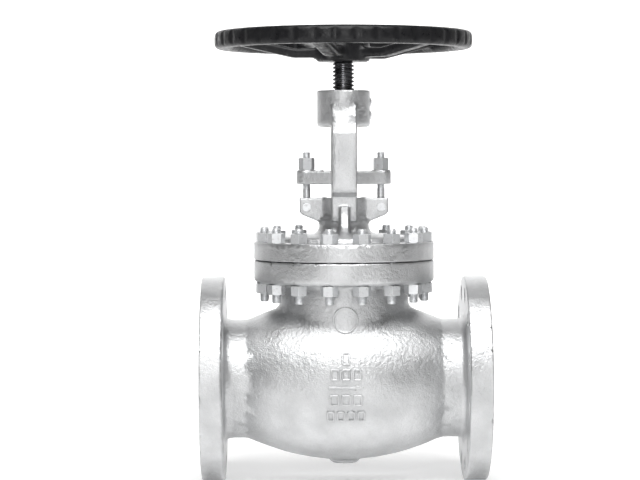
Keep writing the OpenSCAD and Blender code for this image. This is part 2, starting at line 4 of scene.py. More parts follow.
import bmesh
import bpy
import numpy as np
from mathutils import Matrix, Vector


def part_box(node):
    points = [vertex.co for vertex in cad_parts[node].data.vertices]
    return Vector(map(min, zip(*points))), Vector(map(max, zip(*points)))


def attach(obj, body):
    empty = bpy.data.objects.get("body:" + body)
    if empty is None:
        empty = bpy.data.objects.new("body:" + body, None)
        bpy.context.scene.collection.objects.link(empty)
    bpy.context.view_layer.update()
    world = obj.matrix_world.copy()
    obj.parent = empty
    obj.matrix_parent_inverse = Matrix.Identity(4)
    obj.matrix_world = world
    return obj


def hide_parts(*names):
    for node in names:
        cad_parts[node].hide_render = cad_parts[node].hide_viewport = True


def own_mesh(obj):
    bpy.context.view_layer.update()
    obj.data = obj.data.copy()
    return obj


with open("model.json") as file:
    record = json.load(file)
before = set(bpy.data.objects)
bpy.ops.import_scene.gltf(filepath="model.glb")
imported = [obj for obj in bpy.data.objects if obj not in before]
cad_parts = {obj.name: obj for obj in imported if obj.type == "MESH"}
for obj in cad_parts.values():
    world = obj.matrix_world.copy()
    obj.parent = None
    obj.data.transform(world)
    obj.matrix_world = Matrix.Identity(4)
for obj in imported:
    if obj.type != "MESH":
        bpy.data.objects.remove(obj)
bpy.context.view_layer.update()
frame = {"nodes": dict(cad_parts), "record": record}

import openvdb
from mathutils import Euler

# ---------------------------------------------------------------------------
# Sizes. Castings are drawn in millimetres, with the stem axis on Z and the
# flow axis at z = 0, and moved into the frame when their mesh is made.
# ---------------------------------------------------------------------------
MM = 0.001
AXIS_X = (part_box("stem")[0].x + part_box("stem")[1].x) / 2


def span(node):
    """Lowest and highest corner of a CAD node at rest, in millimetres round the stem axis."""
    shift = np.array((AXIS_X, 0.0, 0.0))
    return [(np.array(corner) - shift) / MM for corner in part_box(node)]


BODY_LO, BODY_HI = span("body")
BONNET_LO, BONNET_HI = span("bonnet")
WHEEL_LO, WHEEL_HI = span("handwheel")
GLAND_LO, GLAND_HI = span("gland_flange")
STEM_LO, STEM_HI = span("stem")
STUDS_LO, STUDS_HI = span("bonnet_studs")
PACKING_LO, PACKING_HI = span("packing_rings")
BONNET_Z0 = span("bonnet_gasket")[1][2]
HUB_Z0, HUB_Z1 = (corner[2] for corner in span("yoke_nut"))
EYEBOLT_TOP = span("eyebolt_left")[1][2]

HALF = BODY_HI[0]
FLANGE_R = BODY_HI[1]
RAISED_FACE_H = 1.6
RAISED_FACE_R = 107.95
FLANGE_THICK = 36.5
BOLT_CIRCLE_R = 134.95
BOLT_HOLE_R = 11.1
BOLTS = 12

NOZZLE_R = 92
GLOBE_R = 126.5
GLOBE_HALF = 150
WALL = 16
NECK_R = 100
NECK_BORE_R = 85
BODY_FLANGE_Z0 = 150
DECK_Z0 = -10
DECK_Z1 = 8
SEAT_HOLE_R = 78
DRAIN_BOSS_R = 21
DRAIN_BOSS_Z = -131.4

BONNET_R = BONNET_HI[0]
BONNET_TOP = BONNET_Z0 + 27.8
CROWN_Z = BONNET_TOP + 11.3
CROWN_R = 105
BOX_ROOT_R = 38.5
BOX_R = 34
BOX_TOP = 281.4
BOX_BORE_R = 23.3
STUDS = 16
STUD_CIRCLE_R = 126
STUD_HOLE_R = 7.75
STUD_R = 7
PACKING_RINGS = 6

LUG_X = 69
LUG_HALF = 14
LUG_SLOT_HALF = 6.5
EYEBOLT_X = 57.8
EYEBOLT_Z = 267
PIN_R = 5
EYE_R = 11
EYE_HALF = 6.2
EYEBOLT_R = 6
GLAND_BORE_R = 17.4
BUSH_HEAD_R = 19.6
ARM_HALF = 19.5
ARM_Y = 58
ARM_T = 16
ARM_FOOT_Y = 44
RIB_HALF = 7
HUB_R = 41.4

WHEEL_R = 200
RIM_W = 25
RIM_Z = 525.5
GRIPS = 40
GRIP_R = 12
GRIP_DEPTH = 1.8
SPOKES = 5
SPOKE_FIRST = math.radians(-106)
SPOKE_HALF = 12.8
SPOKE_T = 13
WHEEL_HUB_R = 41
WHEEL_HUB_TOP = 528
JOURNAL_R = 13
STEM_R = 16.8


# ---------------------------------------------------------------------------
# Distance fields: each is negative inside its solid, in millimetres
# ---------------------------------------------------------------------------
def join(a, b, fillet=0.0):
    """Union of a and b, with a fillet of that radius between them."""
    near = np.hypot(np.maximum(fillet - a, 0), np.maximum(fillet - b, 0))
    return np.maximum(np.minimum(a, b), fillet) - near


def meet(a, b, edge=0.0):
    """Intersection of a and b, with its edge rounded to that radius."""
    near = np.hypot(np.maximum(edge + a, 0), np.maximum(edge + b, 0))
    return np.minimum(np.maximum(a, b), -edge) + near


def cut(a, b, edge=0.0):
    """a without b, with the cut's edge rounded."""
    return meet(a, -b, edge)


def drum(radial, along, r, low, high, edge=0.0):
    """Round bar of radius r from low to high."""
    return meet(radial - r, np.abs(along - (low + high) / 2) - (high - low) / 2, edge)


def outline(u, v, points):
    """Distance to a closed outline in the plane of u and v."""
    shape = np.broadcast(u, v).shape
    distance = np.full(shape, 1e6, np.float32)
    inside = np.zeros(shape, bool)
    for (au, av), (bu, bv) in zip(points, points[1:] + points[:1]):
        eu, ev = bu - au, bv - av
        t = np.clip(((u - au) * eu + (v - av) * ev) / (eu * eu + ev * ev), 0, 1)
        distance = np.minimum(distance, np.hypot(u - au - eu * t, v - av - ev * t))
        if ev != 0:
            inside ^= ((av > v) != (bv > v)) & (u < eu * (v - av) / ev + au)
    return np.where(inside, -distance, distance)


def arc(cu, cv, r, start, end, steps):
    """Points of an arc between two angles in degrees."""
    turns = np.radians(np.linspace(start, end, steps + 1))
    return [(cu + r * math.cos(a), cv + r * math.sin(a)) for a in turns]


def around(radial, angle, count, first=0.5):
    """Radial and sideways place within the nearest of count equal sectors."""
    step = 2 * math.pi / count
    turn = np.mod(angle - (first - 0.5) * step, step) - step / 2
    return radial * np.cos(turn), radial * np.sin(turn)


def holes(radial, angle, count, circle_r, hole_r):
    """Ring of round holes, half a step away from angle 0."""
    u, v = around(radial, angle, count)
    return np.hypot(u - circle_r, v) - hole_r


def barrel(x, y, z, inset=0.0):
    """Globe and the two pipe ends it tapers into, or that surface set further in."""
    bulge = np.clip(1 - (x / GLOBE_HALF) ** 2, 0, None)
    lean = np.where(bulge > 0, 2 * (GLOBE_R - NOZZLE_R) * x / GLOBE_HALF ** 2, 0)
    radius = NOZZLE_R + (GLOBE_R - NOZZLE_R) * bulge - inset
    return (np.hypot(y, z) - radius) / np.sqrt(1 + lean ** 2)


def body_outside(x, y, z):
    """Globe, pipe ends, flanges, neck and the blank drain boss."""
    pipe, rho, far = np.hypot(y, z), np.hypot(x, y), np.abs(x)
    outer = meet(barrel(x, y, z), far - HALF + 2)
    flange = drum(pipe, far, FLANGE_R, HALF - FLANGE_THICK, HALF - RAISED_FACE_H, 1.8)
    face = drum(pipe, far, RAISED_FACE_R, HALF - 12, HALF, 0.5)
    outer = join(join(outer, flange, 10), face, 0.6)
    outer = join(outer, drum(rho, z, NECK_R, 40, BODY_FLANGE_Z0 + 8), 9)
    top = drum(rho, z, BONNET_R, BODY_FLANGE_Z0, BODY_HI[2], 1.6)
    bevel = (rho - BONNET_R - (z - BODY_FLANGE_Z0) + 5) / math.sqrt(2)
    outer = join(outer, meet(top, bevel, 1.2), 7)
    return join(outer, drum(rho, z, DRAIN_BOSS_R, DRAIN_BOSS_Z, DRAIN_BOSS_Z + 30, 2.5), 6)


def body_shape(x, y, z):
    """The body, hollowed into two chambers and drilled."""
    pipe, rho, far = np.hypot(y, z), np.hypot(x, y), np.abs(x)
    chamber = join(barrel(x, y, z, WALL), drum(rho, z, NECK_BORE_R, 30, 220), 6)
    end_wall = [(-88, DECK_Z1), (-104, DECK_Z0), (-152, 100), (-132, 100)]
    deck = meet(np.abs(x) - 104, np.abs(z - (DECK_Z0 + DECK_Z1) / 2) - (DECK_Z1 - DECK_Z0) / 2)
    deck = cut(deck, rho - SEAT_HOLE_R, 0.5)
    walls = np.minimum(outline(x, z, end_wall), outline(-x, DECK_Z0 + DECK_Z1 - z, end_wall))
    hollow = cut(chamber, join(deck, walls, 5), 5)
    solid = cut(body_outside(x, y, z), hollow, 0.8)
    bolt_hole = holes(pipe, np.arctan2(z, y), BOLTS, BOLT_CIRCLE_R, BOLT_HOLE_R)
    solid = cut(solid, np.maximum(bolt_hole, HALF - FLANGE_THICK - 8 - far), 0.8)
    stud_hole = meet(holes(rho, np.arctan2(y, x), STUDS, STUD_CIRCLE_R, STUD_HOLE_R), 140 - z)
    return cut(solid, stud_hole, 0.4)


def blank_frames(u, v, count, width, height):
    """Row of rounded frames with nothing in them, in lines 3 wide."""
    pitch = width / count
    place = np.clip(np.floor(u / pitch + count / 2), 0, count - 1) + 0.5 - count / 2
    corner = 3
    du = np.abs(u - place * pitch) - pitch / 2 + 1.5 + corner
    dv = np.abs(v) - height / 2 + corner
    edge = (np.hypot(np.maximum(du, 0), np.maximum(dv, 0))
            + np.minimum(np.maximum(du, dv), 0) - corner)
    return np.abs(edge + 1.5) - 1.5


def marks_shape(x, y, z):
    """Ring, blank frames and flow arrow, raised from the front of the globe and neck."""
    arrow = [(-27, -2.2), (15, -2.2), (13, -5.5), (28, 0), (13, 5.5), (15, 2.2), (-27, 2.2)]
    relief = np.abs(np.hypot(x, z - 97.5) - 18.3) - 1.6
    relief = np.minimum(relief, blank_frames(x, z - 41.3, 1, 16, 20))
    relief = np.minimum(relief, blank_frames(x, z - 16.8, 3, 51, 18))
    relief = np.minimum(relief, outline(x, z + 2.7, arrow))
    relief = np.minimum(relief, blank_frames(x, z + 22.4, 3, 54, 17.8))
    relief = np.minimum(relief, blank_frames(x, z + 47.4, 4, 62, 16.4))
    skin = np.abs(body_outside(x, y, z) - 0.8) - 1.7
    return meet(relief, skin, 0.7)


def lug_shape(x, y, z):
    """The two slotted lugs that hold the eyebolts' pins."""
    side, front = np.abs(x), np.abs(y)
    lug_side = [(28, BOX_TOP), (LUG_X, BOX_TOP), (LUG_X, 260), (LUG_X - 4, 255.5),
                (BOX_ROOT_R, 244.5), (28, 244.5)]
    lug = meet(outline(side, z, lug_side), front - LUG_HALF, 2)
    slot = np.maximum(np.maximum(EYEBOLT_X - 13 - side, front - LUG_SLOT_HALF), 240 - z)
    lug = cut(lug, slot, 0.8)
    return cut(lug, np.hypot(side - EYEBOLT_X, z - EYEBOLT_Z) - PIN_R, 0.4)


def arm_shape(x, y, z):
    """The yoke's two arms, from the stuffing box up to the hub."""
    side, front = np.abs(x), np.abs(y)
    inner = ARM_Y - ARM_T
    arm_side = [(28, 246), (ARM_FOOT_Y - 3, 246), (ARM_FOOT_Y, 252), (ARM_FOOT_Y, 283),
                (ARM_Y - 2, 290), (ARM_Y, 294), (ARM_Y, 381), (ARM_Y - 9, 398),
                (ARM_Y - 10.5, 408), (HUB_R - 1, 420), (HUB_R - 3, 423), (27, 423),
                (27, HUB_Z0 + 3), (HUB_R - 9, HUB_Z0 + 3), (inner, 382), (inner, 293),
                (BOX_R, BOX_TOP), (28, BOX_TOP)]
    return meet(outline(front, z, arm_side), side - ARM_HALF, 3)


def rib_shape(x, y, z):
    """The ribs under the arms, curving out on to the flange."""
    side, front = np.abs(x), np.abs(y)
    reach, foot_z = 98, 268
    rib_side = ([(28, foot_z), (ARM_FOOT_Y + 4, foot_z)] + arc(reach, foot_z, 46, 180, 262, 6)
                + [(reach, BONNET_TOP + 1), (28, BONNET_TOP + 1)])
    return meet(outline(front, z, rib_side), side - RIB_HALF, 3)


def bonnet_shape(x, y, z):
    """Flange, crowned deck, stuffing box, lugs, ribs and the two-armed yoke."""
    rho = np.hypot(x, y)
    flange = drum(rho, z, BONNET_R, BONNET_Z0, BONNET_TOP, 1.8)
    spigot = drum(rho, z, NECK_BORE_R - 0.4, BONNET_LO[2], BONNET_Z0 + 8, 0.5)
    slope = 0.09 * np.maximum(rho - 70, 0)
    crown = meet(meet(rho - CROWN_R, z - CROWN_Z + slope, 7), BONNET_TOP - 6 - z)
    shell = join(join(np.minimum(flange, spigot), crown, 2.5),
                 drum(rho, z, BOX_ROOT_R, BONNET_TOP, 250, 4), 14)
    shell = join(shell, drum(rho, z, BOX_R, BONNET_TOP, BOX_TOP, 1.5), 6)
    hub = meet(meet(rho - HUB_R, HUB_Z0 - z, 6), z - HUB_Z1, 2.5)
    solid = join(join(shell, lug_shape(x, y, z), 4), rib_shape(x, y, z), 6)
    solid = join(solid, join(arm_shape(x, y, z), hub, 5), 4)
    inside = [(-5, 170), (74, 170), (74, 197), (35, 215), (27, 219), (27, 233),
              (BOX_BORE_R, 233), (BOX_BORE_R, 300), (-5, 300)]
    solid = cut(solid, outline(rho, z, inside), 0.6)
    for nut_r, top in ((26, HUB_Z1 + 4), (31, HUB_Z0 + 6)):
        solid = cut(solid, drum(rho, z, nut_r, HUB_Z0 - 4, top), 0.5)
    return cut(solid, holes(rho, np.arctan2(y, x), STUDS, STUD_CIRCLE_R, STUD_HOLE_R), 0.4)


def gland_shape(x, y, z):
    """Two-bolt gland flange with a boss under each nut."""
    side, front = np.abs(x), np.abs(y)
    mid_r, end_r = GLAND_HI[1], GLAND_HI[0] - EYEBOLT_X
    boss_r, pip_x, pip_r = 14.8, -34, 3
    lean = (mid_r - end_r) / EYEBOLT_X
    rise = math.sqrt(1 - lean * lean)
    along = side * rise - front * lean
    ends = np.hypot(front, side - EYEBOLT_X) - end_r
    flanks = front * rise + side * lean - mid_r
    plan = np.where(along < 0, np.hypot(front, side) - mid_r,
                    np.where(along > rise * EYEBOLT_X, ends, flanks))
    low, high = GLAND_LO[2], GLAND_LO[2] + 20.2
    plate = meet(plan, np.abs(z - (low + high) / 2) - (high - low) / 2, 2.2)
    bolt = np.hypot(side - EYEBOLT_X, front)
    plate = join(plate, drum(bolt, z, boss_r, low + 5, high + 1.8, 0.8), 1.5)
    plate = join(plate, drum(np.hypot(x - pip_x, y), z, pip_r, low + 5, high + 2, 1.2), 1)
    rho = np.hypot(x, y)
    plate = cut(plate, rho - GLAND_BORE_R, 0.8)
    plate = cut(plate, drum(rho, z, BUSH_HEAD_R, low - 5, low + 9), 0.4)
    return cut(plate, bolt - EYEBOLT_R - 0.5, 0.4)


def eyebolt_shape(x, y, z):
    """Eye, and a shank threaded where it comes through the gland flange."""
    pitch, depth = 1.75, 0.9
    rho, height = np.hypot(x, y), z - EYEBOLT_Z
    eye = drum(np.hypot(x, height), y, EYE_R, -EYE_HALF, EYE_HALF, 1.2)
    wave = np.cos(2 * math.pi * z / pitch - np.arctan2(y, x))
    groove = np.clip((z - GLAND_LO[2] + 8) / 4, 0, 1) * depth * (0.5 - 0.5 * wave)
    shank = meet((rho - EYEBOLT_R + groove) * 0.6, z - EYEBOLT_TOP, 0.8)
    shank = meet(shank, PIN_R + 2 - height)
    return cut(join(eye, shank, 3), np.hypot(x, height) - PIN_R, 0.4)


def packing_shape(x, y, z):
    """Stack of square graphite rings."""
    pitch = (PACKING_HI[2] - PACKING_LO[2]) / PACKING_RINGS
    middle = (BOX_BORE_R + STEM_R) / 2
    place = np.clip(np.floor((z - PACKING_LO[2]) / pitch), 0, PACKING_RINGS - 1) + 0.5
    up = np.abs(z - PACKING_LO[2] - place * pitch) - pitch / 2 + 0.06
    return meet(np.abs(np.hypot(x, y) - middle) - (BOX_BORE_R - STEM_R) / 2 + 0.1, up, 0.9)


def wheel_shape(x, y, z):
    """Scalloped rim, raised spokes and hub of the handwheel."""
    rho, angle = np.hypot(x, y), np.arctan2(y, x)
    half_h = WHEEL_HI[2] - RIM_Z
    rim = meet(np.abs(rho - WHEEL_R + RIM_W / 2) - RIM_W / 2, np.abs(z - RIM_Z) - half_h, 8)
    u, v = around(rho, angle, GRIPS)
    rim = cut(rim, np.hypot(u - WHEEL_R - GRIP_R + GRIP_DEPTH, v) - GRIP_R, 1.2)
    flat_z = WHEEL_LO[2] + 6.1
    rise_z = RIM_Z - SPOKE_T / 2 - 1
    spoke_side = [(30, flat_z), (78, flat_z), (165.5, rise_z), (187, rise_z),
                  (187, rise_z + SPOKE_T), (161.5, rise_z + SPOKE_T),
                  (74, flat_z + SPOKE_T + 1), (30, flat_z + SPOKE_T + 3)]
    u, v = around(rho, angle - SPOKE_FIRST, SPOKES, 0)
    spokes = meet(outline(u, z, spoke_side), np.abs(v) - SPOKE_HALF, 5)
    hub = drum(rho, z, WHEEL_HUB_R, WHEEL_LO[2], WHEEL_HUB_TOP, 3)
    return cut(join(join(rim, spokes, 6), hub, 8), rho - JOURNAL_R, 1)


# ---------------------------------------------------------------------------
# Meshes
# ---------------------------------------------------------------------------
def slope_of(shape, points, reach=0.2):
    """Gradient of a distance field at an array of points."""
    parts = []
    for axis in range(3):
        step = np.zeros(3)
        step[axis] = reach
        parts.append(shape(*(points + step).T) - shape(*(points - step).T))
    return np.stack(parts, axis=1) / (2 * reach)


def into_frame(points):
    """Millimetres round the stem axis to metres in the frame."""
    return points * MM + np.array((AXIS_X, 0.0, 0.0))


def new_object(name, mesh):
    """Object with that mesh, placed in the scene."""
    obj = bpy.data.objects.new(name, mesh)
    bpy.context.scene.collection.objects.link(obj)
    return obj


def cast(name, shape, low, high, step, flatness=0.1, shift=0.0):
    """Mesh of a distance field's surface, with each vertex settled on that surface inside
    the box from low to high, then moved along the flow axis by shift."""
    start = np.array(low) - 3 * step
    x, y, z = (np.arange(a, b + 3 * step, step, dtype=np.float32)
               for a, b in zip(start, high))
    values = shape(x[:, None, None], y[None, :, None], z[None, None, :])
    values = np.ascontiguousarray(np.clip(values, -3 * step, 3 * step), dtype=np.float32)
    grid = openvdb.FloatGrid(3 * step)
    grid.copyFromArray(values)
    points, triangles, quads = grid.convertToPolygons(isovalue=0.0, adaptivity=flatness)
    points = points.astype(float) * step + start
    for _ in range(3):
        slope = slope_of(shape, points)
        move = shape(*points.T)[:, None] * slope / np.maximum((slope ** 2).sum(1), 0.25)[:, None]
        points = np.clip(points - np.clip(move, -step / 2, step / 2), low, high)
    normals = slope_of(shape, points)
    normals /= np.maximum(np.linalg.norm(normals, axis=1), 1e-6)[:, None]
    faces = quads.tolist() + triangles.tolist()
    mesh = bpy.data.meshes.new(name)
    mesh.from_pydata(into_frame(points + (shift, 0, 0)).tolist(), [], faces)
    mesh.update()
    mesh.normals_split_custom_set_from_vertices(normals.tolist())
    print(name, len(points), "vertices", len(faces), "faces")
    return new_object(name, mesh)


def ring_stack(name, rings, centres=((0.0, 0.0),)):
    """Closed mesh through rings of points round each centre, with flat ends. Each ring runs
    a whole turn, so its last point meets the first, or the ring one pitch above."""
    count, total = len(rings[0]), len(rings[0]) * len(rings)
    stack = [(row * count + i, row * count + i + 1,
              (row + 1) * count + i + 1, (row + 1) * count + i)
             for row in range(len(rings) - 1) for i in range(count - 1)]
    stack.append(tuple(range(count - 1))[::-1])
    stack.append(tuple(range(total - count, total - 1)))
    points = np.concatenate([np.concatenate(rings) + (x, y, 0.0) for x, y in centres])
    faces = [tuple(i + copy * total for i in face)
             for copy in range(len(centres)) for face in stack]
    mesh = bpy.data.meshes.new(name)
    mesh.from_pydata(into_frame(points).tolist(), [], faces)
    tidy = bmesh.new()
    tidy.from_mesh(mesh)
    bmesh.ops.remove_doubles(tidy, verts=tidy.verts, dist=1e-6)
    bmesh.ops.recalc_face_normals(tidy, faces=tidy.faces)
    tidy.to_mesh(mesh)
    tidy.free()
    mesh.shade_smooth()
    mesh.set_sharp_from_angle(angle=math.radians(32))
    return new_object(name, mesh)


def level_rings(profile, sides):
    """Rings of a turned shape, one for each (radius, height) of its profile."""
    turn = np.linspace(0, 2 * math.pi, sides + 1)
    return [np.stack((r * np.cos(turn), r * np.sin(turn), np.full(sides + 1, float(z))), 1)
            for r, z in profile]


def thread_rings(low, high, pitch, root_r, crest_r, profile, sides):
    """Rings of a right-hand screw thread. Each ring climbs one pitch in a turn, and is
    held between low and high, where the thread runs out into its root."""
    turn = np.linspace(0, 2 * math.pi, sides + 1)
    runout = pitch * 0.6
    rings = []
    for lap in range(-2, math.ceil((high - low) / pitch) + 2):
        for share, lift in profile:
            z = low + pitch * (lap + share + turn / (2 * math.pi))
            inside = np.clip(np.minimum(z - low, high - z) / runout, 0, 1)
            r = root_r + (crest_r - root_r) * lift * inside
            z = np.clip(z, low, high)
            rings.append(np.stack((r * np.cos(turn), r * np.sin(turn), z), 1))
    return rings


# ---------------------------------------------------------------------------
# Materials
# ---------------------------------------------------------------------------
class Paint:
    """A procedural material, with short calls for the nodes it needs."""

    def __init__(self, name, colour, metallic, roughness):
        self.material = bpy.data.materials.new(name)
        self.material.use_nodes = True
        self.nodes = self.material.node_tree.nodes
        self.links = self.material.node_tree.links
        self.shader = self.nodes["Principled BSDF"]
        self.shader.inputs["Base Color"].default_value = (*colour, 1)
        self.shader.inputs["Metallic"].default_value = metallic
        self.shader.inputs["Roughness"].default_value = roughness
        self.place = self.nodes.new("ShaderNodeTexCoord").outputs["Object"]
        self.bumps = None

    def link(self, source, target):
        self.links.new(source, target)

    def stretched(self, scale):
        """Object coordinates scaled unevenly, for marks that run one way."""
        mapping = self.nodes.new("ShaderNodeMapping")
        mapping.inputs["Scale"].default_value = scale
        self.link(self.place, mapping.inputs["Vector"])
        return mapping.outputs["Vector"]

    def noise(self, size, detail=3.0, place=None):
        """Noise whose features are about size metres across."""
        node = self.nodes.new("ShaderNodeTexNoise")
        node.inputs["Scale"].default_value = 1 / size
        node.inputs["Detail"].default_value = detail
        self.link(place or self.place, node.inputs["Vector"])
        return node.outputs["Fac"]

    def remap(self, value, low, high, to_low, to_high):
        """Value from low to high turned into to_low to to_high."""
        node = self.nodes.new("ShaderNodeMapRange")
        for socket, number in zip(("From Min", "From Max", "To Min", "To Max"),
                                  (low, high, to_low, to_high)):
            node.inputs[socket].default_value = number
        self.link(value, node.inputs["Value"])
        return node.outputs["Result"]

    def times(self, a, b):
        """Product of two outputs."""
        node = self.nodes.new("ShaderNodeMath")
        node.operation = "MULTIPLY"
        self.link(a, node.inputs[0])
        self.link(b, node.inputs[1])
        return node.outputs["Value"]

    def mix(self, share, first, second):
        """Colour between first and second, each a colour or another node's output."""
        node = self.nodes.new("ShaderNodeMix")
        node.data_type = "RGBA"
        self.link(share, node.inputs["Factor"])
        for socket, colour in ((node.inputs[6], first), (node.inputs[7], second)):
            if isinstance(colour, tuple):
                socket.default_value = (*colour, 1)
            else:
                self.link(colour, socket)
        return node.outputs[2]

    def colour(self, output):
        self.link(output, self.shader.inputs["Base Color"])

    def roughness(self, output):
        self.link(output, self.shader.inputs["Roughness"])

    def bump(self, height, depth):
        """Adds relief of that depth in metres on top of the relief added before."""
        node = self.nodes.new("ShaderNodeBump")
        node.inputs["Strength"].default_value = 1
        node.inputs["Distance"].default_value = depth
        self.link(height, node.inputs["Height"])
        if self.bumps is not None:
            self.link(self.bumps, node.inputs["Normal"])
        self.bumps = node.outputs["Normal"]
        self.link(self.bumps, self.shader.inputs["Normal"])

    def soft_edges(self, radius):
        """Rounds the look of sharp edges, below the other relief."""
        node = self.nodes.new("ShaderNodeBevel")
        node.samples = 6
        node.inputs["Radius"].default_value = radius
        self.bumps = node.outputs["Normal"]
        self.link(self.bumps, self.shader.inputs["Normal"])

    def edge_share(self, radius, low=0.03, high=0.25):
        """1 along worn edges and 0 on open faces."""
        bevel = self.nodes.new("ShaderNodeBevel")
        bevel.samples = 6
        bevel.inputs["Radius"].default_value = radius
        plain = self.nodes.new("ShaderNodeNewGeometry").outputs["Normal"]
        away = self.nodes.new("ShaderNodeVectorMath")
        away.operation = "DISTANCE"
        self.link(bevel.outputs["Normal"], away.inputs[0])
        self.link(plain, away.inputs[1])
        return self.remap(away.outputs["Value"], low, high, 0, 1)


def cast_paint(name, colour, dark, roughness):
    """Satin aluminium paint over the sand texture of a casting."""
    paint = Paint(name, colour, 0.85, roughness)
    cloud = paint.noise(0.05, 5)
    speck = paint.noise(0.0016, 2)
    tone = paint.mix(paint.remap(cloud, 0.35, 0.65, 0, 1), dark, colour)
    paint.colour(paint.mix(paint.remap(speck, 0.3, 0.62, 0.45, 0), tone, dark))
    paint.roughness(paint.remap(cloud, 0.3, 0.7, roughness - 0.05, roughness + 0.08))
    paint.bump(paint.noise(0.014, 2), 0.0006)
    paint.bump(paint.noise(0.0055, 3), 0.0008)
    paint.bump(paint.noise(0.0018, 2), 0.0005)
    return paint.material


def plated(name, colour, dark, roughness, metallic=0.9):
    """Zinc-plated or bare steel, with soft edges and a little grime."""
    paint = Paint(name, colour, metallic, roughness)
    paint.soft_edges(0.0006)
    grime = paint.remap(paint.noise(0.004, 4), 0.25, 0.45, 0, 1)
    bright = tuple(min(1.0, 1.25 * c) for c in colour)
    worn = paint.mix(paint.edge_share(0.0008), paint.mix(grime, dark, colour), bright)
    paint.colour(worn)
    paint.roughness(paint.remap(grime, 0, 1, roughness + 0.15, roughness))
    paint.bump(paint.noise(0.0012, 3), 0.00008)
    return paint.material


def turned(name, colour, dark, roughness):
    """Turned metal, with fine rings round the stem axis."""
    paint = Paint(name, colour, 1.0, roughness)
    paint.soft_edges(0.0004)
    rings = paint.noise(0.001, 2, paint.stretched((0.04, 0.04, 1)))
    stain = paint.remap(paint.noise(0.02, 4), 0.35, 0.65, 0, 1)
    paint.colour(paint.mix(stain, dark, colour))
    paint.roughness(paint.remap(rings, 0.3, 0.7, roughness - 0.06, roughness + 0.1))
    paint.bump(rings, 0.00005)
    return paint.material


def graphite(name):
    """Pressed graphite with a fibrous grain."""
    paint = Paint(name, (0.05, 0.05, 0.055), 0.3, 0.6)
    grain = paint.noise(0.0015, 4)
    paint.colour(paint.mix(grain, (0.02, 0.02, 0.022), (0.11, 0.11, 0.115)))
    paint.roughness(paint.remap(grain, 0.3, 0.7, 0.45, 0.75))
    paint.bump(grain, 0.0001)
    return paint.material


def wheel_paint(name):
    """Black enamel on cast iron, with grey painted along its ridges: a painted highlight where the
    ridges catch light, and wear where the enamel is rubbed through.
    """
    black, sheen_and_wear_grey = (0.006, 0.006, 0.007), (0.20, 0.20, 0.20)
    paint = Paint(name, black, 0.0, 0.32)
    paint.shader.inputs["Specular IOR Level"].default_value = 0.25
    # Grey on the sharp ridges by pointiness, broken into patches: a painted highlight along the
    # ridges, and rubbed-through wear.
    ridge_sheen_and_wear = paint.remap(paint.nodes.new("ShaderNodeNewGeometry").outputs["Pointiness"],
                      0.53, 0.6, 0, 0.75)
    patchy = paint.remap(paint.noise(0.006, 4), 0.42, 0.6, 0, 1)
    dull = paint.mix(paint.noise(0.03, 4), black, (0.014, 0.014, 0.015))
    paint.colour(paint.mix(paint.times(ridge_sheen_and_wear, patchy), dull, sheen_and_wear_grey))
    paint.roughness(paint.remap(paint.noise(0.008, 4), 0.3, 0.7, 0.24, 0.5))
    paint.bump(paint.noise(0.012, 3), 0.0006)
    paint.bump(paint.noise(0.003, 3), 0.00018)
    return paint.material


MATERIALS = {
    "cast_paint": cast_paint("aluminium_paint", (0.66, 0.665, 0.67), (0.50, 0.505, 0.51), 0.38),
    "fastener": plated("zinc_plate", (0.68, 0.69, 0.70), (0.50, 0.50, 0.50), 0.34, 0.7),
    "trim_steel": turned("turned_steel", (0.55, 0.56, 0.57), (0.36, 0.36, 0.37), 0.28),
    "stem_steel": turned("oiled_stem", (0.20, 0.20, 0.21), (0.06, 0.06, 0.065), 0.25),
    "bronze": turned("bronze", (0.50, 0.37, 0.20), (0.30, 0.22, 0.12), 0.32),
    "graphite": graphite("pressed_graphite"),
    "wheel_paint": wheel_paint("black_enamel"),
}
SLOT_OF = {part["node"]: part["material_slot"] for part in frame["record"]["subparts"]}


def finish_with(obj, slot_name):
    """Gives a new piece its material."""
    obj.data.materials.clear()
    obj.data.materials.append(MATERIALS[slot_name])


def stand_for(obj, node, body):
    """The piece replaces that CAD node, rides on its body and takes its material."""
    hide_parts(node)
    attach(obj, body)
    finish_with(obj, SLOT_OF[node])


# ---------------------------------------------------------------------------
# Pieces
# ---------------------------------------------------------------------------
def make_castings():
    """Body, bonnet, gland flange, handwheel and the blank marks on the body."""
    body = cast("body_casting", body_shape, BODY_LO, BODY_HI, 2.1)
    stand_for(body, "body", "housing")
    bonnet = cast("bonnet_casting", bonnet_shape, BONNET_LO, BONNET_HI, 1.6)
    stand_for(bonnet, "bonnet", "housing")
    gland = cast("gland_plate", gland_shape, GLAND_LO, GLAND_HI, 1.1)
    stand_for(gland, "gland_flange", "gland_group")
    wheel = cast("wheel_casting", wheel_shape, WHEEL_LO, WHEEL_HI, 1.6)
    stand_for(wheel, "handwheel", "stem_group")
    marks = cast("cast_marks", marks_shape, (-33, -GLOBE_R - 3, -58), (33, -93, 118), 0.8)
    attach(marks, "housing")
    finish_with(marks, "cast_paint")


def make_gland_parts():
    """Threaded eyebolts, and the packing that the gland presses down."""
    low, high = (-EYE_R, -EYE_R, EYEBOLT_Z - EYE_R), (EYE_R, EYE_R, EYEBOLT_TOP)
    for name, side in (("left", -1), ("right", 1)):
        bolt = cast("threaded_eyebolt_" + name, eyebolt_shape, low, high, 0.5, 0.1,
                    side * EYEBOLT_X)
        stand_for(bolt, "eyebolt_" + name, "housing")
    packing = cast("graphite_rings", packing_shape, PACKING_LO, PACKING_HI, 0.7)
    stand_for(packing, "packing_rings", "housing")
    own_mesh(packing)


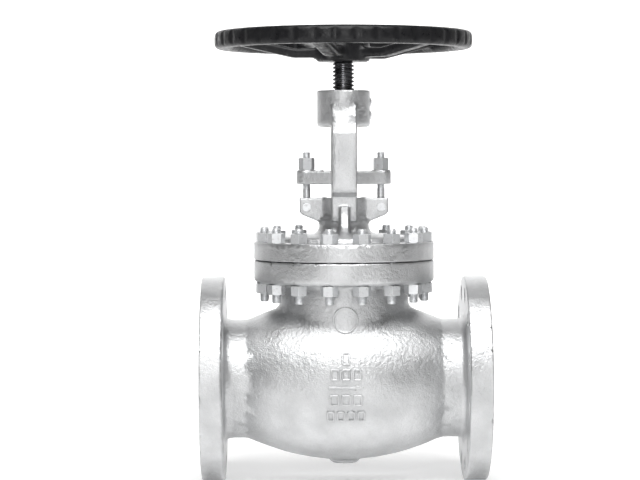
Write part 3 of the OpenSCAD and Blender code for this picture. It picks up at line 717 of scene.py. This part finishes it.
def make_stem():
    """Head, shank, backseat shoulder, helical thread and journal of the stem."""
    sides = 48
    shank_r, thread_root, low, high = STEM_R, 13.8, 381, 492.5
    below = [(22.5, STEM_LO[2]), (24.5, STEM_LO[2] + 2), (24.5, 68.8), (shank_r, 68.8),
             (shank_r, 200), (22, 204), (22, 218.7), (shank_r, 223.9),
             (shank_r, low - 3), (thread_root, low)]
    above = [(thread_root, high), (JOURNAL_R, high + 0.5), (JOURNAL_R, 529), (12, 530),
             (12, STEM_HI[2] - 2), (10, STEM_HI[2])]
    profile = [(0.0, 0.0), (0.13, 0.0), (0.2, 0.12), (0.3, 0.88), (0.35, 1.0), (0.65, 1.0),
               (0.7, 0.88), (0.8, 0.12), (0.87, 0.0)]
    rings = (level_rings(below, sides)
             + thread_rings(low, high, 6.0, thread_root, shank_r, profile, sides)
             + level_rings(above, sides))
    stand_for(ring_stack("threaded_stem", rings), "stem", "stem_group")


def make_studs():
    """Studs of the bonnet joint, threaded where they stand out of their nuts."""
    sides, pitch, root = 18, 2.0, STUD_R - 0.9
    profile = [(0.0, 0.0), (0.35, 1.0), (0.6, 1.0), (0.9, 0.0)]
    low, high = STUDS_LO[2], STUDS_HI[2]
    rings = (level_rings([(root - 1, low), (root, low + 1)], sides)
             + thread_rings(low + 1, low + 26, pitch, root, STUD_R, profile, sides)
             + level_rings([(STUD_R, low + 28), (STUD_R, high - 25)], sides)
             + thread_rings(high - 23, high - 1, pitch, root, STUD_R, profile, sides)
             + level_rings([(root - 1, high)], sides))
    turns = (np.arange(STUDS) + 0.5) * 2 * math.pi / STUDS
    centres = [(STUD_CIRCLE_R * math.cos(a), STUD_CIRCLE_R * math.sin(a)) for a in turns]
    stand_for(ring_stack("threaded_studs", rings, centres), "bonnet_studs", "housing")


def dress_nodes():
    """Gives every CAD node that is still shown its procedural material."""
    for name, node in frame["nodes"].items():
        node.data.materials.clear()
        node.data.materials.append(MATERIALS[SLOT_OF[name]])


# ---------------------------------------------------------------------------
# Floor, light and camera
# ---------------------------------------------------------------------------
def make_floor():
    """Pale floor that curves up behind the valve into a backdrop."""
    front, back, top, radius, half_width = -18.0, 5.0, 7.0, 2.5, 16.0
    floor_z = BODY_LO[2] * MM
    path = [(front, 0.0)] + [(back - radius + u, radius + v)
                             for u, v in arc(0, 0, radius, -90, 0, 24)] + [(back, top)]
    points = [(x, y, floor_z + z) for y, z in path for x in (-half_width, half_width)]
    faces = [(2 * i, 2 * i + 1, 2 * i + 3, 2 * i + 2) for i in range(len(path) - 1)]
    mesh = bpy.data.meshes.new("studio_floor")
    mesh.from_pydata(points, [], faces)
    mesh.shade_smooth()
    floor = new_object("studio_floor", mesh)
    paper = Paint("white_paper", (0.93, 0.93, 0.93), 0.0, 0.9)
    paper.shader.inputs["Emission Color"].default_value = (1, 1, 1, 1)
    paper.shader.inputs["Emission Strength"].default_value = 0.22
    paper.bump(paper.noise(0.004, 2), 0.0001)
    mesh.materials.append(paper.material)


def softbox(name, centre, target, width, height, power):
    """Rectangular lamp of that power in watts, aimed at target."""
    light = bpy.data.lights.new(name, "AREA")
    light.shape = "RECTANGLE"
    light.size, light.size_y = width, height
    light.energy = power
    obj = bpy.data.objects.new(name, light)
    bpy.context.scene.collection.objects.link(obj)
    obj.location = centre
    aim = np.array(target) - np.array(centre)
    obj.rotation_euler = (math.atan2(math.hypot(aim[0], aim[1]), -aim[2]), 0,
                          math.atan2(-aim[0], aim[1]))


def light_studio():
    """Large lamp above and in front, small fill by the camera, and a lit backdrop."""
    middle = (AXIS_X, 0.0, 0.2)
    softbox("key_above", (AXIS_X, -1.6, 2.7), middle, 2.8, 2.4, 128)
    softbox("fill_front", (AXIS_X - 0.4, -4.2, 0.9), middle, 1.6, 1.2, 28)
    softbox("backdrop_wash", (AXIS_X, 2.2, 3.2), (AXIS_X, 5.0, 0.8), 5.0, 1.5, 170)
    world = bpy.data.worlds.new("studio")
    world.use_nodes = True
    world.node_tree.nodes["Background"].inputs["Color"].default_value = (1, 1, 1, 1)
    world.node_tree.nodes["Background"].inputs["Strength"].default_value = 0.03
    bpy.context.scene.world = world
    bpy.context.scene.view_settings.view_transform = "Standard"


def place_camera():
    """Slightly left of the stem axis and above the flow axis, looking a little down."""
    distance, height, sideways = 3.456, 0.3393, -0.071
    camera = bpy.data.objects.new("camera", bpy.data.cameras.new("camera"))
    bpy.context.scene.collection.objects.link(camera)
    camera.data.sensor_width = 36
    camera.data.lens = 124.9
    camera.data.shift_x, camera.data.shift_y = -0.037, 0.0097
    camera.data.clip_end = 60
    camera.location = (AXIS_X + sideways, -distance, height)
    pitch, roll, turn = math.radians(90 - 2.21), math.radians(0.17), math.atan2(sideways, distance)
    camera.rotation_euler = Euler((pitch, roll, turn), "XYZ")
    bpy.context.scene.camera = camera


make_castings()
make_gland_parts()
make_studs()
make_stem()
dress_nodes()
make_floor()
light_studio()
place_camera()
